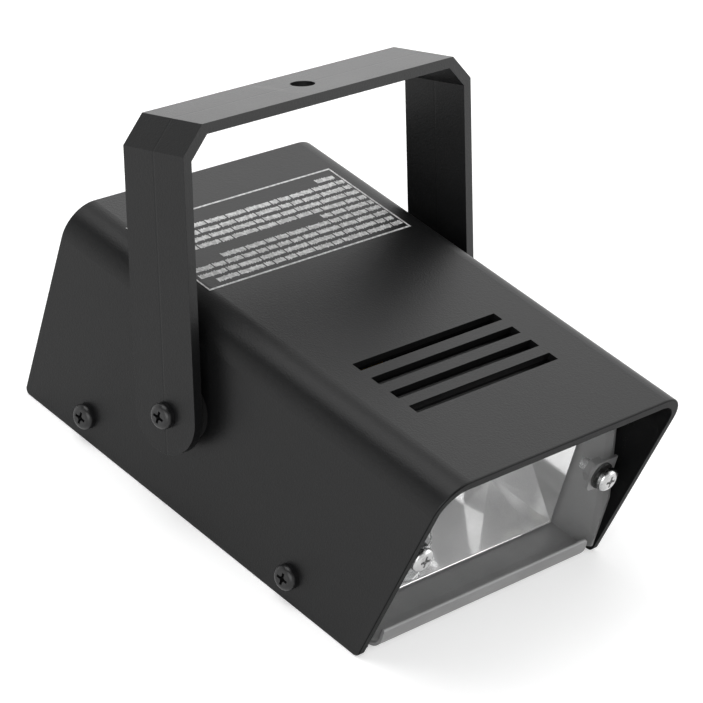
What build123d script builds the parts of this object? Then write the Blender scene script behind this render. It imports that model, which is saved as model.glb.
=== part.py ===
from build123d import *
import os
from math import cos, hypot, radians, sin, tan

# A small xenon stroboscope: a moulded cover with a slanted hood, a bent sheet
# chassis with the lamp chamber at its front, the flash circuit behind it, and a
# bracket that tilts on two pivot screws. Millimetres. X runs across (the width),
# the lamp faces -Y, Z is up. The origin is the centre of the flat base.

# ---------------------------------------------------------------- cover
cover_width = 110.0
cover_height = 67.0
cover_length = 145.5          # along the bottom edge
hood_overhang = 12.0          # the roof's front edge stands this far ahead of the bottom
cover_wall = 2.5              # side walls
roof_wall = 3.2
bend_radius = 10.5            # outside radius of both upper long edges
rim_round = 0.5               # rounding of the cover's outer rim
foot_round = 2.0              # lower corners of the side walls
vent_length = 63.0
vent_width = 3.6
vent_pitch = 7.6
vent_count = 4
vent_front = 19.2             # from the bottom front corner to the first slot's front edge
vent_offset = -2.2            # the slots lie a little left of the middle

# ---------------------------------------------------------------- bracket
leg_gap = 4.15                # between the cover's side and a leg
bracket_strip = 24.3          # width of the strap
bracket_thickness = 3.25
bracket_reach = 86.9          # pivot to the outside of the top bar
bracket_chamfer = 8.0
bracket_tilt = 21.2           # lean towards the rear, degrees
bracket_hole_radius = 3.75
pivot_from_front = 84.0
pivot_height = 33.2

# ---------------------------------------------------------------- screws
screw_radius = 2.0            # M4 shanks
screw_head_radius = 4.0
screw_head_height = 2.8
screw_clearance = 0.1
small_screw_radius = 1.5      # M3 shanks
small_head_radius = 2.8
small_head_height = 2.0
small_screw_length = 6.0
recess_width = 0.9
cover_screw_length = 4.0
cover_screw_height = 8.0
cover_screw_front = 30.9      # from the bottom front corner
cover_screw_rear = 119.1
nut_height = 3.2
nut_flats = 7.0
running_gap = 0.1             # between faces that turn past each other

# ---------------------------------------------------------------- chassis
sheet = 1.0
chassis_gap = 0.3             # between the chassis and the cover's inner faces
cheek_depth = 24.0            # front to back of the lamp chamber's tall cheeks
cheek_step = 21.0             # height where the cheek's front edge starts to lean back
cheek_lean = 0.26             # mm back for each mm up
cheek_top_margin = 1.5        # below the start of the cover's bend
flange_height = 14.0
flange_run = 8.0              # length of the slope from the cheek down to the flange
lip_half_width = 47.0
lip_height = 7.7
lip_bend = 4.4                # outside radius of the bend at the lip
lip_stand = 1.1               # the lip's face stands this far ahead of the cheeks
lip_corner = 2.2              # the lip's upper right corner and the tabs; its left end is square
lip_round = 0.8               # rounding along the top of the lip's face
tab_margin = 5.0              # from a pane screw to the tab's free end
tab_height = 10.0
rear_flange_half_width = 45.0
rear_flange_height = 9.0

# ---------------------------------------------------------------- pane
pane_thickness = 1.2
pane_gap = 0.3                # between the pane and the cheeks
pane_corner = 9.0
pane_set_forward = 0.5        # the pane's face stands this far ahead of the cheeks
pane_lift = 0.3               # between the lip's top and the pane
pane_head_height = 2.2
pane_roof_gap = 3.0
pane_screw_left = -40.0       # from the middle plane
pane_screw_right = 44.85
pane_screw_height = 31.05
pane_screw_length = 9.0
grommet_radius = 4.4
grommet_thickness = 0.8

# ---------------------------------------------------------------- reflector
reflector_front = 15.8        # from the bottom front corner
reflector_depth = 32.0
reflector_sheet = 0.5
reflector_gap = 0.3
reflector_roof_gap = 3.3      # between the reflector's roof and the cover
reflector_hem = 3.0           # depth of the hem along the floor's front edge
reflector_slope_run = 6.0
reflector_slope_rise = 14.5
gusset_reach = 11.5
gusset_depth = 12.0

# ---------------------------------------------------------------- flash tube
tube_radius = 2.5
tube_wall = 0.7
leg_spacing = 10.0
tube_offset = -6.0            # the tube stands a little left of the middle
tube_height = 8.0
tube_front = 20.5
tube_from_board = 4.0         # from the tube's open ends to the board
electrode_length = 5.0
lead_radius = 0.5
sleeve_wall = 0.7
sleeve_length = 13.0
fit = 0.05
band_width = 3.0
band_thickness = 0.3
band_front = 33.0
trigger_wire_radius = 0.3

# ---------------------------------------------------------------- circuit board
board_from_reflector = 14.2   # from the reflector's back to the board's front edge
board_rear_gap = 10.0         # behind the board, for the panel's screws and nuts
part_gap = 2.0                # between components across the board
board_width = 80.0
board_thickness = 1.6
board_corner = 2.0
spacer_height = 5.0
spacer_radius = 2.6
spacer_inset = 4.5
insulation_thickness = 0.3
insulation_margin = 4.0
pin_radius = 0.4
capacitor_size = (26.0, 13.0, 22.0)
capacitor_spread = 32.0
transformer_radius = 6.0
transformer_height = 14.0
trigger_capacitor_size = (10.0, 5.0, 9.0)
thyristor_size = (8.0, 4.0, 9.5)
thyristor_lift = 3.0
neon_radius = 2.4
neon_length = 8.0
diode_radius = 1.4
diode_length = 5.0
diode_pitch = 4.0
diode_count = 4
resistor_size = (25.0, 9.0, 9.0)
resistor_lift = 2.0
fuse_radius = 2.5
fuse_length = 20.0
fuse_cap_length = 5.0
fuse_lift = 5.5
terminal_size = (15.0, 8.0, 10.0)
terminal_poles = 3
terminal_inset = 25.5         # from the board's right edge to the block's middle

# ---------------------------------------------------------------- rear panel
panel_thickness = 1.5
panel_inset = 2.0
panel_screw_from_side = 22.0  # from the cover's outer side, like the knob and the gland
panel_screw_height = 5.6
knob_from_side = 30.0
knob_height = 38.0
pot_radius = 8.0
pot_depth = 9.0
bush_radius = 3.5
bush_length = 7.0
pot_nut_flats = 10.0
pot_nut_height = 2.2
shaft_radius = 3.0
shaft_length = 12.0
shaft_flat = 1.2
knob_radius = 8.0
knob_length = 13.0
knob_skirt_radius = 9.5
knob_skirt = 2.0
knob_wall = 2.0
knob_ribs = 18
gland_from_side = 27.0
gland_height = 24.0
gland_bore = 3.25
gland_thread_radius = 6.0
gland_flats = 15.0
gland_flange = 4.5
gland_cap = 9.0
gland_cap_nose = 3.0
gland_inner_length = 9.5
gland_nut_height = 4.0
gland_wall = 1.3
wire_radius = 0.7

# ---------------------------------------------------------------- worked out
front_y = -cover_length / 2
rear_y = cover_length / 2
inner_half = cover_width / 2 - cover_wall
inner_roof = cover_height - roof_wall
bracket_span = cover_width + 2 * (leg_gap + bracket_thickness)
panel_screw_across = cover_width / 2 - panel_screw_from_side
knob_across = knob_from_side - cover_width / 2
gland_across = cover_width / 2 - gland_from_side
chassis_half = inner_half - chassis_gap
cheek_inner = chassis_half - sheet
pivot_y = front_y + pivot_from_front
pane_front = front_y - pane_set_forward
pane_back = pane_front + pane_thickness
pane_bottom = lip_height + pane_lift
tab_front = pane_back + grommet_thickness
panel_outer = rear_y - panel_inset
panel_inner = panel_outer - panel_thickness
rear_flange_y = panel_inner - sheet
reflector_roof = inner_roof - reflector_roof_gap
reflector_back = front_y + reflector_front + reflector_depth
board_y = reflector_back + board_from_reflector
board_length = panel_inner - board_rear_gap - board_y
board_end = board_y + board_length
board_bottom = sheet + spacer_height
board_top = board_bottom + board_thickness
# the earth point stands between the reflector and the board's insulation, its tag to the left
earth_place = (
    board_width / 2 - 2 * spacer_inset,
    (reflector_back + reflector_sheet + board_y - insulation_margin / 2) / 2,
)
# the components stand in rows from front to rear, with even gaps between the rows
row_depths = (
    2 * transformer_radius,
    capacitor_size[1],
    diode_pitch * (diode_count - 1) + 2 * diode_radius,
    resistor_size[1],
    terminal_size[1],
)
row_gap = (board_length - sum(row_depths)) / (len(row_depths) + 1)
row_middles = [
    board_y + (place + 1) * row_gap + sum(row_depths[:place]) + depth / 2
    for place, depth in enumerate(row_depths)
]
transformer_y, capacitor_y, diode_y, resistor_y, terminal_y = row_middles
leg_y = board_y - tube_from_board
leg_xs = (tube_offset - leg_spacing / 2, tube_offset + leg_spacing / 2)
bend_y = front_y + tube_front + leg_spacing / 2 + tube_radius
bracket_plane = Plane(
    origin=(0, pivot_y, pivot_height),
    x_dir=(1, 0, 0),
    z_dir=(0, -cos(radians(bracket_tilt)), sin(radians(bracket_tilt))),
)
sides = (-1, 1)
pane_screw_places = ((-1, pane_screw_left), (1, pane_screw_right))


def save(builder, name):
    """Label a finished sub-part and write it to its own file."""
    builder.part.label = name
    export_step(builder.part, f"parts/{name}.step")


def side_plane(side, distance, y, z):
    """A plane square to X whose normal points away from the middle on that side."""
    return Plane(origin=(side * distance, y, z), x_dir=(0, side, 0), z_dir=(side, 0, 0))


def front_plane(x, y, z):
    """A plane whose normal points forwards, out of the lamp."""
    return Plane(origin=(x, y, z), x_dir=(1, 0, 0), z_dir=(0, -1, 0))


def rear_plane(x, y, z):
    """A plane whose normal points backwards, out of the rear panel."""
    return Plane(origin=(x, y, z), x_dir=(-1, 0, 0), z_dir=(0, 1, 0))


def pan_screw(head_radius, head_height, shank_radius, shank_length):
    """A cross-recess pan head screw, seated at z = 0 with its head above."""
    crown = head_radius * 0.55
    with BuildPart() as screw:
        with BuildSketch(Plane.XZ):
            with BuildLine():
                Polyline((0, -shank_length), (shank_radius, -shank_length), (shank_radius, 0))
                Polyline((shank_radius, 0), (head_radius, 0), (head_radius, head_height * 0.5))
                ThreePointArc(
                    (head_radius, head_height * 0.5),
                    (head_radius * 0.86, head_height * 0.85),
                    (crown, head_height),
                )
                Polyline((crown, head_height), (0, head_height), (0, -shank_length))
            make_face()
        revolve(axis=Axis.Z)
        with BuildSketch(Plane.XY.offset(head_height)):
            Rectangle(head_radius, recess_width)
            Rectangle(recess_width, head_radius)
        extrude(amount=-head_height * 0.6, taper=12, mode=Mode.SUBTRACT)
        with BuildSketch(Plane.XY.offset(head_height)):
            Circle(recess_width)
        extrude(amount=-head_height * 0.75, taper=15, mode=Mode.SUBTRACT)
    return screw.part


def hex_nut(flats, height, bore):
    """A hexagon nut standing on z = 0, with its upper corners eased."""
    corner_radius = flats / 3 ** 0.5
    with BuildPart() as nut:
        with BuildSketch(Plane.XY):
            RegularPolygon(radius=corner_radius, side_count=6)
        extrude(amount=height)
        with BuildSketch(Plane.XY):
            Circle(corner_radius)
        extrude(amount=height, mode=Mode.INTERSECT)
        chamfer(nut.edges().group_by(Axis.Z)[-1], length=height * 0.08)
        with BuildSketch(Plane.XY):
            Circle(bore)
        extrude(amount=height, mode=Mode.SUBTRACT)
    return nut.part


def sweep_round(points, bend, radius):
    """A round bar or wire along straight runs that are joined by arcs."""
    with BuildPart() as bar:
        with BuildLine():
            run = FilletPolyline(*points, radius=bend)
        with BuildSketch(Plane(origin=run @ 0, z_dir=run % 0)):
            Circle(radius)
        sweep()
    return bar.part


def cheek_outline():
    """Side view of the tall front cheek and the low flange behind it."""
    cheek_top = cover_height - bend_radius - cheek_top_margin
    lean = cheek_lean * (cheek_top - cheek_step)
    cheek_back = front_y + cheek_depth
    return (
        (front_y, sheet * 2.5),
        (front_y, cheek_step),
        (front_y + lean, cheek_top),
        (cheek_back, cheek_top),
        (cheek_back + flange_run, flange_height),
        (rear_flange_y, flange_height),
        (rear_flange_y, 0),
        (front_y + lip_bend, 0),
    )


def reflector_outline(margin):
    """Side view of the reflector's trough, grown outwards by a margin."""
    front = front_y + reflector_front
    back = front + reflector_depth
    low = sheet + reflector_gap + reflector_sheet
    slope = hypot(reflector_slope_run, reflector_slope_rise)
    shift = margin * (slope - reflector_slope_run) / reflector_slope_rise
    turn = margin * (slope - reflector_slope_rise) / reflector_slope_run
    return (
        (front, low - margin),
        (back - reflector_slope_run + shift, low - margin),
        (back + margin, low + reflector_slope_rise - turn),
        (back + margin, reflector_roof - reflector_slope_rise + turn),
        (back - reflector_slope_run + shift, reflector_roof + margin),
        (front, reflector_roof + margin),
    )


os.makedirs("parts", exist_ok=True)

# ---------------------------------------------------------------- cover
with BuildPart() as cover:
    with BuildSketch(Plane.YZ) as cover_side:
        with BuildLine():
            Polyline(
                (front_y, 0),
                (front_y - hood_overhang, cover_height),
                (rear_y, cover_height),
                (rear_y, 0),
                close=True,
            )
        make_face()
        fillet(cover_side.vertices().group_by(Axis.Y)[0], radius=foot_round)
    extrude(amount=cover_width / 2, both=True)
    roof_edges = cover.faces().sort_by(Axis.Z)[-1].edges().filter_by(Axis.Y)
    fillet(roof_edges, radius=bend_radius)
    # the rounding follows the rim round the feet and over the rear edge
    front_rim = cover.faces().sort_by(Axis.Y)[0].edges().filter_by(
        lambda edge: edge.center().Z > foot_round * 2
    )
    fillet(front_rim, radius=rim_round)
    with BuildSketch(Plane.XZ.offset(-rear_y)) as hollow:
        with Locations((0, inner_roof / 2)):
            Rectangle(2 * inner_half, inner_roof)
        fillet(hollow.vertices().group_by(Axis.Y)[-1], radius=bend_radius - cover_wall)
    extrude(amount=cover_length + 2 * hood_overhang, mode=Mode.SUBTRACT)
    vent_middle = front_y + vent_front + vent_width / 2 + vent_pitch * (vent_count - 1) / 2
    with BuildSketch(Plane.XY.offset(cover_height)):
        with Locations((vent_offset, vent_middle)):
            with GridLocations(0, vent_pitch, 1, vent_count):
                Rectangle(vent_length, vent_width)
    extrude(amount=-2 * roof_wall, mode=Mode.SUBTRACT)
    with BuildSketch(Plane.YZ):
        with Locations(
            (pivot_y, pivot_height),
            (front_y + cover_screw_front, cover_screw_height),
            (front_y + cover_screw_rear, cover_screw_height),
        ):
            Circle(screw_radius + screw_clearance)
    extrude(amount=cover_width, both=True, mode=Mode.SUBTRACT)
save(cover, "cover")

# ---------------------------------------------------------------- chassis
with BuildPart() as chassis:
    floor_length = rear_flange_y + sheet - (front_y + lip_bend - lip_stand)
    with BuildSketch(Plane.XY):
        with Locations((0, rear_flange_y + sheet - floor_length / 2)):
            Rectangle(2 * chassis_half, floor_length)
    extrude(amount=sheet)
    for side in sides:
        with BuildSketch(Plane.YZ.offset(side * (chassis_half - sheet / 2))):
            with BuildLine():
                Polyline(*cheek_outline(), close=True)
            make_face()
        extrude(amount=sheet / 2, both=True)
    for side, across in pane_screw_places:
        tab_width = cheek_inner - abs(across) + tab_margin
        with BuildSketch(front_plane(side * cheek_inner, tab_front, pane_screw_height)) as tab:
            with Locations((-side * tab_width / 2, 0)):
                Rectangle(tab_width, tab_height)
            inner_corners = tab.vertices().sort_by(Axis.X)
            fillet(inner_corners[:2] if side > 0 else inner_corners[-2:], radius=lip_corner)
        extrude(amount=-sheet)
    with BuildSketch(Plane.YZ) as lip_bend_profile:
        with BuildLine():
            lip_y = front_y - lip_stand
            arc_centre = (lip_y + lip_bend, lip_bend)
            CenterArc(arc_centre, lip_bend, 180, 90)
            CenterArc(arc_centre, lip_bend - sheet, 180, 90)
            Line((lip_y, lip_bend), (lip_y + sheet, lip_bend))
            Line((lip_y + lip_bend, 0), (lip_y + lip_bend, sheet))
        make_face()
    extrude(amount=lip_half_width, both=True)
    with BuildSketch(front_plane(0, lip_y, lip_bend)) as lip_face:
        with Locations((0, (lip_height - lip_bend) / 2)):
            Rectangle(2 * lip_half_width, lip_height - lip_bend)
        fillet(lip_face.vertices().sort_by(Axis.Y)[-2:].sort_by(Axis.X)[-1], radius=lip_corner)
    extrude(amount=-sheet)
    lip_top = chassis.edges().filter_by(Axis.X).group_by(Axis.Y)[0].sort_by(Axis.Z)[-1]
    fillet(lip_top, radius=lip_round)
    with BuildSketch(front_plane(0, rear_flange_y, rear_flange_height / 2)):
        Rectangle(2 * rear_flange_half_width, rear_flange_height)
    extrude(amount=-sheet)
    with BuildSketch(front_plane(0, tab_front, 0)):
        with Locations(
            (pane_screw_left, pane_screw_height), (pane_screw_right, pane_screw_height)
        ):
            Circle(screw_radius + screw_clearance)
    extrude(amount=-sheet, mode=Mode.SUBTRACT)
    with BuildSketch(front_plane(0, rear_flange_y, 0)):
        with Locations(
            (-panel_screw_across, panel_screw_height), (panel_screw_across, panel_screw_height)
        ):
            Circle(small_screw_radius + fit)
    extrude(amount=-sheet, mode=Mode.SUBTRACT)
    with BuildSketch(Plane.YZ):
        with Locations(
            (front_y + cover_screw_front, cover_screw_height),
            (front_y + cover_screw_rear, cover_screw_height),
        ):
            Circle(screw_radius + fit)
    extrude(amount=chassis_half, both=True, mode=Mode.SUBTRACT)
    with BuildSketch(Plane.XY):
        with Locations((0, board_y + board_length / 2)):
            with GridLocations(
                board_width - 2 * spacer_inset, board_length - 2 * spacer_inset, 2, 2
            ):
                Circle(small_screw_radius + fit)
        with Locations(earth_place):
            Circle(screw_radius + fit)
    extrude(amount=sheet, mode=Mode.SUBTRACT)
save(chassis, "chassis")

# ---------------------------------------------------------------- bracket and its pivots
with BuildPart() as bracket:
    half = bracket_span / 2
    inside = bracket_chamfer - bracket_thickness * tan(radians(22.5))
    with BuildSketch(bracket_plane):
        with BuildLine():
            Polyline(
                (-half, 0),
                (-half, bracket_reach - bracket_chamfer),
                (-half + bracket_chamfer, bracket_reach),
                (half - bracket_chamfer, bracket_reach),
                (half, bracket_reach - bracket_chamfer),
                (half, 0),
                (half - bracket_thickness, 0),
                (half - bracket_thickness, bracket_reach - bracket_thickness - inside),
                (half - bracket_thickness - inside, bracket_reach - bracket_thickness),
                (-half + bracket_thickness + inside, bracket_reach - bracket_thickness),
                (-half + bracket_thickness, bracket_reach - bracket_thickness - inside),
                (-half + bracket_thickness, 0),
                close=True,
            )
        make_face()
    extrude(amount=bracket_strip / 2, both=True)
    for side in sides:
        with BuildSketch(side_plane(side, half, pivot_y, pivot_height)):
            Circle(bracket_strip / 2)
        extrude(amount=-bracket_thickness)
        with BuildSketch(side_plane(side, half, pivot_y, pivot_height)):
            Circle(screw_radius + fit)
        extrude(amount=-bracket_thickness, mode=Mode.SUBTRACT)
    bar_plane = Plane(
        origin=bracket_plane.from_local_coords((0, bracket_reach, 0)),
        x_dir=(1, 0, 0),
        z_dir=bracket_plane.y_dir,
    )
    with BuildSketch(bar_plane):
        Circle(bracket_hole_radius)
    extrude(amount=-bracket_thickness, mode=Mode.SUBTRACT)
save(bracket, "bracket")

friction_washer_thickness = leg_gap - running_gap
head_seat = bracket_span / 2 + running_gap
pivot_screw_length = head_seat - inner_half + nut_height + screw_radius / 2
cover_bolt = pan_screw(screw_head_radius, screw_head_height, screw_radius, cover_screw_length)
pivot_bolt = pan_screw(screw_head_radius, screw_head_height, screw_radius, pivot_screw_length)
pane_bolt = pan_screw(screw_head_radius, pane_head_height, screw_radius, pane_screw_length)
small_bolt = pan_screw(
    small_head_radius, small_head_height, small_screw_radius, small_screw_length
)
screw_nut = hex_nut(nut_flats, nut_height, screw_radius)

with BuildPart() as pivot_screws:
    for side in sides:
        with Locations(side_plane(side, head_seat, pivot_y, pivot_height)):
            add(pivot_bolt)
save(pivot_screws, "pivot_screws")

with BuildPart() as pivot_nuts:
    for side in sides:
        with Locations(side_plane(-side, -inner_half, pivot_y, pivot_height)):
            add(screw_nut)
save(pivot_nuts, "pivot_nuts")

with BuildPart() as friction_washers:
    for side in sides:
        with BuildSketch(side_plane(side, cover_width / 2, pivot_y, pivot_height)):
            Circle(bracket_strip / 2 - 2 * bracket_thickness / 3)
            Circle(screw_radius, mode=Mode.SUBTRACT)
        extrude(amount=friction_washer_thickness)
save(friction_washers, "friction_washers")

with BuildPart() as cover_screws:
    for side in sides:
        for distance in (cover_screw_front, cover_screw_rear):
            seat = side_plane(side, cover_width / 2, front_y + distance, cover_screw_height)
            with Locations(seat):
                add(cover_bolt)
save(cover_screws, "cover_screws")

# ---------------------------------------------------------------- pane and its screws
with BuildPart() as front_pane:
    pane_half = cheek_inner - pane_gap
    pane_top = inner_roof - pane_roof_gap
    with BuildSketch(front_plane(0, pane_front, (pane_top + pane_bottom) / 2)) as pane_face:
        Rectangle(2 * pane_half, pane_top - pane_bottom)
        fillet(pane_face.vertices().group_by(Axis.Y)[-1], radius=pane_corner)
    extrude(amount=-pane_thickness)
    with BuildSketch(front_plane(0, pane_front, pane_screw_height)):
        with Locations((pane_screw_left, 0), (pane_screw_right, 0)):
            Circle(screw_radius + screw_clearance)
    extrude(amount=-pane_thickness, mode=Mode.SUBTRACT)
save(front_pane, "front_pane")

with BuildPart() as pane_grommets:
    for side, across in pane_screw_places:
        with BuildSketch(front_plane(across, pane_back, pane_screw_height)):
            Circle(grommet_radius)
            Circle(screw_radius, mode=Mode.SUBTRACT)
        extrude(amount=-grommet_thickness)
save(pane_grommets, "pane_grommets")

with BuildPart() as pane_screws:
    for side, across in pane_screw_places:
        with Locations(front_plane(across, pane_front, pane_screw_height)):
            add(pane_bolt)
save(pane_screws, "pane_screws")

with BuildPart() as pane_nuts:
    for side, across in pane_screw_places:
        with Locations(rear_plane(across, tab_front + sheet, pane_screw_height)):
            add(screw_nut)
save(pane_nuts, "pane_nuts")

# ---------------------------------------------------------------- reflector
reflector_half = cheek_inner - reflector_gap
with BuildPart() as reflector:
    trough_half = reflector_half - 2 * reflector_sheet
    with BuildSketch(Plane.YZ):
        with BuildLine():
            outer = reflector_outline(reflector_sheet)
            inner = reflector_outline(0)
            Polyline(*outer, *reversed(inner), close=True)
        make_face()
    extrude(amount=trough_half, both=True)
    # the floor's front edge is folded back over itself
    with BuildSketch(Plane.YZ):
        with Locations(inner[0]):
            Circle(reflector_sheet)
            Rectangle(reflector_hem, reflector_sheet, align=(Align.MIN, Align.MIN))
    extrude(amount=trough_half - reflector_sheet, both=True)
    with BuildSketch(front_plane(0, reflector_back - reflector_depth / 2, 0)):
        for leg_x in leg_xs:
            with Locations((leg_x, tube_height)):
                Circle(tube_radius + sleeve_wall + 2 * fit)
        with Locations((leg_xs[1], tube_height + tube_radius + 2 * trigger_wire_radius)):
            Circle(3 * trigger_wire_radius)
    extrude(amount=-reflector_depth, mode=Mode.SUBTRACT)
save(reflector, "reflector")

for side, end_name in ((-1, "reflector_end_left"), (1, "reflector_end_right")):
    with BuildPart() as reflector_end:
        end_x = side * trough_half
        apex = (
            end_x - side * gusset_reach,
            front_y + reflector_front + gusset_depth,
            (reflector_roof + sheet) / 2,
        )
        with BuildSketch(Plane.YZ.offset(end_x)) as end_face:
            with BuildLine():
                Polyline(*reflector_outline(0), close=True)
            make_face()
        loft(sections=[end_face.sketch, Vertex(*apex)])
        deeper = side * 2 * reflector_sheet
        with BuildSketch(Plane.YZ.offset(end_x + deeper)) as back_face:
            with BuildLine():
                Polyline(*reflector_outline(0), close=True)
            make_face()
        loft(
            sections=[back_face.sketch, Vertex(apex[0] + deeper, apex[1], apex[2])],
            mode=Mode.SUBTRACT,
        )
        with BuildSketch(Plane.YZ.offset(end_x)) as end_flange:
            with BuildLine():
                Polyline(*reflector_outline(reflector_sheet), close=True)
            make_face()
            with BuildLine():
                Polyline(*reflector_outline(-3 * reflector_sheet), close=True)
            make_face(mode=Mode.SUBTRACT)
        extrude(end_flange.sketch, amount=side * reflector_sheet)
    save(reflector_end, end_name)

# ---------------------------------------------------------------- flash tube
with BuildPart() as flash_tube:
    with BuildLine() as tube_path:
        start = (leg_xs[0], leg_y, tube_height)
        Line(start, (leg_xs[0], bend_y, tube_height))
        ThreePointArc(
            (leg_xs[0], bend_y, tube_height),
            (tube_offset, bend_y - leg_spacing / 2, tube_height),
            (leg_xs[1], bend_y, tube_height),
        )
        Line((leg_xs[1], bend_y, tube_height), (leg_xs[1], leg_y, tube_height))
    with BuildSketch(front_plane(*start)):
        Circle(tube_radius)
        Circle(tube_radius - tube_wall, mode=Mode.SUBTRACT)
    sweep()
save(flash_tube, "flash_tube")

with BuildPart() as tube_electrodes:
    for leg_x in leg_xs:
        with BuildSketch(front_plane(leg_x, leg_y, tube_height)):
            Circle(tube_radius - tube_wall - fit)
        extrude(amount=electrode_length)
        with BuildSketch(front_plane(leg_x, leg_y - electrode_length, tube_height)):
            Circle(lead_radius)
        extrude(amount=electrode_length)
        with BuildSketch(rear_plane(leg_x, leg_y, board_top + lead_radius)):
            Circle(lead_radius)
        extrude(amount=board_y - leg_y + row_gap / 2)
save(tube_electrodes, "tube_electrodes")

with BuildPart() as tube_sleeves:
    sleeve_front = reflector_back - sleeve_length / 2
    for leg_x in leg_xs:
        with BuildSketch(rear_plane(leg_x, sleeve_front, tube_height)):
            Circle(tube_radius + sleeve_wall)
            Circle(tube_radius + fit, mode=Mode.SUBTRACT)
        extrude(amount=sleeve_length)
save(tube_sleeves, "tube_sleeves")

band_y = front_y + band_front
with BuildPart() as trigger_band:
    with BuildSketch(rear_plane(leg_xs[1], band_y, tube_height)):
        Circle(tube_radius + fit + band_thickness)
        Circle(tube_radius + fit, mode=Mode.SUBTRACT)
    extrude(amount=band_width)
    wire_z = tube_height + tube_radius + sleeve_wall + trigger_wire_radius
    with BuildSketch(rear_plane(leg_xs[1], band_y, wire_z)):
        Circle(trigger_wire_radius)
    extrude(amount=transformer_y - transformer_radius - band_y)
    with BuildSketch(Plane.XY.offset(tube_height + tube_radius + fit)):
        with Locations((leg_xs[1], band_y + band_width / 2)):
            Rectangle(2 * trigger_wire_radius, band_width)
    extrude(amount=wire_z - tube_height - tube_radius - fit)
save(trigger_band, "trigger_band")

# ---------------------------------------------------------------- circuit board
spacer_grid = (board_width - 2 * spacer_inset, board_length - 2 * spacer_inset)
board_middle = (0, board_y + board_length / 2)
with BuildPart() as circuit_board:
    with BuildSketch(Plane.XY.offset(board_bottom)):
        with Locations(board_middle):
            RectangleRounded(board_width, board_length, board_corner)
            with GridLocations(*spacer_grid, 2, 2):
                Circle(small_screw_radius + screw_clearance, mode=Mode.SUBTRACT)
    extrude(amount=board_thickness)
save(circuit_board, "circuit_board")

with BuildPart() as board_insulation:
    with BuildSketch(Plane.XY.offset(sheet)):
        with Locations(board_middle):
            RectangleRounded(
                board_width + insulation_margin, board_length + insulation_margin, board_corner
            )
            with GridLocations(*spacer_grid, 2, 2):
                Circle(spacer_radius + screw_clearance, mode=Mode.SUBTRACT)
    extrude(amount=insulation_thickness)
save(board_insulation, "board_insulation")

with BuildPart() as board_spacers:
    with BuildSketch(Plane.XY):
        with Locations(board_middle):
            with GridLocations(*spacer_grid, 2, 2):
                Circle(small_screw_radius)
    extrude(amount=sheet)
    with BuildSketch(Plane.XY.offset(sheet)):
        with Locations(board_middle):
            with GridLocations(*spacer_grid, 2, 2):
                Circle(spacer_radius)
    extrude(amount=spacer_height)
    with BuildSketch(Plane.XY.offset(board_bottom)):
        with Locations(board_middle):
            with GridLocations(*spacer_grid, 2, 2):
                Circle(small_screw_radius)
    extrude(amount=sheet - spacer_height, mode=Mode.SUBTRACT)
save(board_spacers, "board_spacers")

board_bolt = pan_screw(
    small_head_radius, small_head_height, small_screw_radius, board_thickness + spacer_height / 2
)
with BuildPart() as board_screws:
    with Locations((*board_middle, board_top)):
        with GridLocations(*spacer_grid, 2, 2):
            add(board_bolt)
save(board_screws, "board_screws")

with BuildPart() as flash_capacitors:
    with BuildSketch(Plane.XY.offset(board_top)):
        with Locations((0, capacitor_y)):
            with GridLocations(capacitor_spread, 0, 2, 1):
                RectangleRounded(capacitor_size[0], capacitor_size[1], 1)
    extrude(amount=capacitor_size[2])
    fillet(flash_capacitors.edges().group_by(Axis.Z)[-1], radius=0.8)
save(flash_capacitors, "flash_capacitors")

with BuildPart() as trigger_transformer:
    with BuildSketch(Plane.XY.offset(board_top)):
        with Locations((leg_xs[1], transformer_y)):
            Circle(transformer_radius)
    extrude(amount=transformer_height)
    with BuildSketch(Plane.XY.offset(board_top + transformer_height * 0.2)):
        with Locations((leg_xs[1], transformer_y)):
            Circle(transformer_radius + 1)
            Circle(transformer_radius * 0.75, mode=Mode.SUBTRACT)
    extrude(amount=transformer_height * 0.08, mode=Mode.SUBTRACT)
save(trigger_transformer, "trigger_transformer")

trigger_capacitor_end = (
    leg_xs[1] + transformer_radius + part_gap + trigger_capacitor_size[0]
)
with BuildPart() as trigger_capacitor:
    with BuildSketch(Plane.XY.offset(board_top)):
        with Locations((trigger_capacitor_end - trigger_capacitor_size[0] / 2, transformer_y)):
            RectangleRounded(trigger_capacitor_size[0], trigger_capacitor_size[1], 1.5)
    extrude(amount=trigger_capacitor_size[2])
save(trigger_capacitor, "trigger_capacitor")

thyristor_x = leg_xs[1] - transformer_radius - 2 * part_gap - thyristor_size[0] / 2
with BuildPart() as thyristor:
    with BuildSketch(Plane.XY.offset(board_top + thyristor_lift)):
        with Locations((thyristor_x, transformer_y)):
            RectangleRounded(thyristor_size[0], thyristor_size[1], 0.8)
    extrude(amount=thyristor_size[2])
    with BuildSketch(Plane.XY.offset(board_top)):
        with Locations((thyristor_x, transformer_y)):
            with GridLocations(thyristor_size[0] / 3, 0, 3, 1):
                Circle(pin_radius)
    extrude(amount=thyristor_lift)
save(thyristor, "thyristor")

neon_start = trigger_capacitor_end + part_gap
with BuildPart() as neon_lamp:
    with BuildSketch(side_plane(1, neon_start, transformer_y, board_top + neon_radius)):
        Circle(neon_radius)
    extrude(amount=neon_length)
    fillet(neon_lamp.edges().filter_by(GeomType.CIRCLE), radius=neon_radius * 0.6)
save(neon_lamp, "neon_lamp")

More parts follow.
